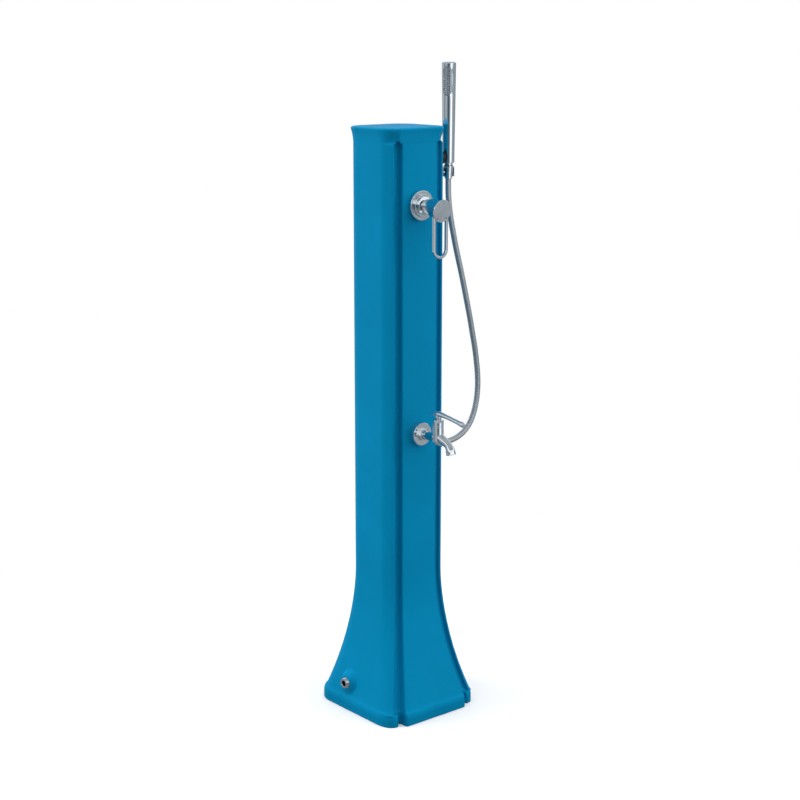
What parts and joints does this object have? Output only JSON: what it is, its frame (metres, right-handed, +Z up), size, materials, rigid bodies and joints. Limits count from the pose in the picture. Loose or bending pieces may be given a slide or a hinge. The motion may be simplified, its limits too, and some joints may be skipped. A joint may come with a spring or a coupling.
{
  "type": "outdoor shower post",
  "caption": "Hollow moulded outdoor shower column on a flared foot, with a lever mixer, a foot tap, and a stick hand shower on a side holder with its hose.",
  "frame": {"origin": "middle of the foot's underside, on the ground, below the axis of the column", "axes": "+Z up along the column, -Y out of the front panel that carries the mixer and the foot tap, +X towards the hand shower"},
  "size_m": [0.3307, 0.332, 1.322],
  "materials": {
    "blue_plastic": "moulded polyethylene with a satin surface",
    "black_plastic": "moulded, fine grain",
    "rubber": "plain moulded rubber",
    "nozzle_rubber": "soft grey nozzle rubber",
    "chrome": "polished chrome plate on brass",
    "steel": "plain stainless steel",
    "satin_metal": "satin chrome",
    "brass": "bare machined brass",
    "copper": "bare copper tube",
    "white_plastic": "moulded acetal",
    "red_mark": "small inlaid dot",
    "blue_mark": "small inlaid dot",
    "hose_plastic": "silver grey ribbed hose skin"
  },
  "bodies": {
    "post": {"column_shell": "blue_plastic", "base_cover": "black_plastic", "holder_bracket": "black_plastic", "base_gasket": "rubber", "inlet_gasket": "rubber", "mixer_gasket": "rubber", "tap_gasket": "rubber", "outlet_gasket": "rubber", "mixer_flange": "chrome", "mixer_bonnet": "chrome", "tap_body": "chrome", "tap_flange": "chrome", "tap_bonnet": "chrome", "outlet_fitting": "chrome", "hose_nut": "chrome", "holder_cup": "chrome", "inlet_nipple": "chrome", "cover_screws_set": "steel", "holder_screw_set": "steel", "inlet_nut": "brass", "feed_tee": "brass", "fill_valve": "brass", "tap_tee": "brass", "mixer_block": "brass", "mixer_nut": "brass", "tap_nut": "brass", "tap_headwork": "brass", "outlet_nut": "brass", "feed_pipe": "copper", "cold_riser": "copper", "cold_upper_pipe": "copper", "tap_branch": "copper", "warm_pickup": "copper", "mixed_pipe": "copper", "mixer_cartridge": "white_plastic", "tap_aerator": "white_plastic", "shower_hose": "hose_plastic"},
    "mixer_spindle": {"mixer_sleeve": "white_plastic", "mixer_pin": "steel"},
    "mixer_lever": {"mixer_stem": "steel", "mixer_handle": "chrome", "handle_disc": "satin_metal", "dot_hot": "red_mark", "dot_cold": "blue_mark"},
    "foot_lever": {"tap_spindle": "steel", "tap_lever": "chrome", "tap_lever_cap": "satin_metal"},
    "hose_end": {"hose_cone_nut": "chrome"},
    "handset": {"stick_washer": "rubber", "shower_stick": "chrome", "nozzle_plate": "nozzle_rubber"}
  },
  "joints": [
    {"name": "mixer_turn", "type": "hinge", "parent": "post", "child": "mixer_spindle", "pos_m": [0, -0.096, 1.05], "axis": [0, -1, 0], "range_deg": [-45, 45]},
    {"name": "mixer_lift", "type": "hinge", "parent": "mixer_spindle", "child": "mixer_lever", "pos_m": [0, -0.096, 1.05], "axis": [-1, 0, 0], "range_deg": [0, 25]},
    {"name": "foot_lever_turn", "type": "hinge", "parent": "post", "child": "foot_lever", "pos_m": [0, -0.128, 0.64], "axis": [0, 0, 1], "range_deg": [0, 90]},
    {"name": "hose_end_lift", "type": "slide", "parent": "post", "child": "hose_end", "axis": [0, 0, 1], "range_m": [0, 0.06]},
    {"name": "handset_swivel", "type": "hinge", "parent": "hose_end", "child": "handset", "pos_m": [0.114, -0.024, 1.118], "axis": [0, 0, 1], "continuous": true}
  ]
}
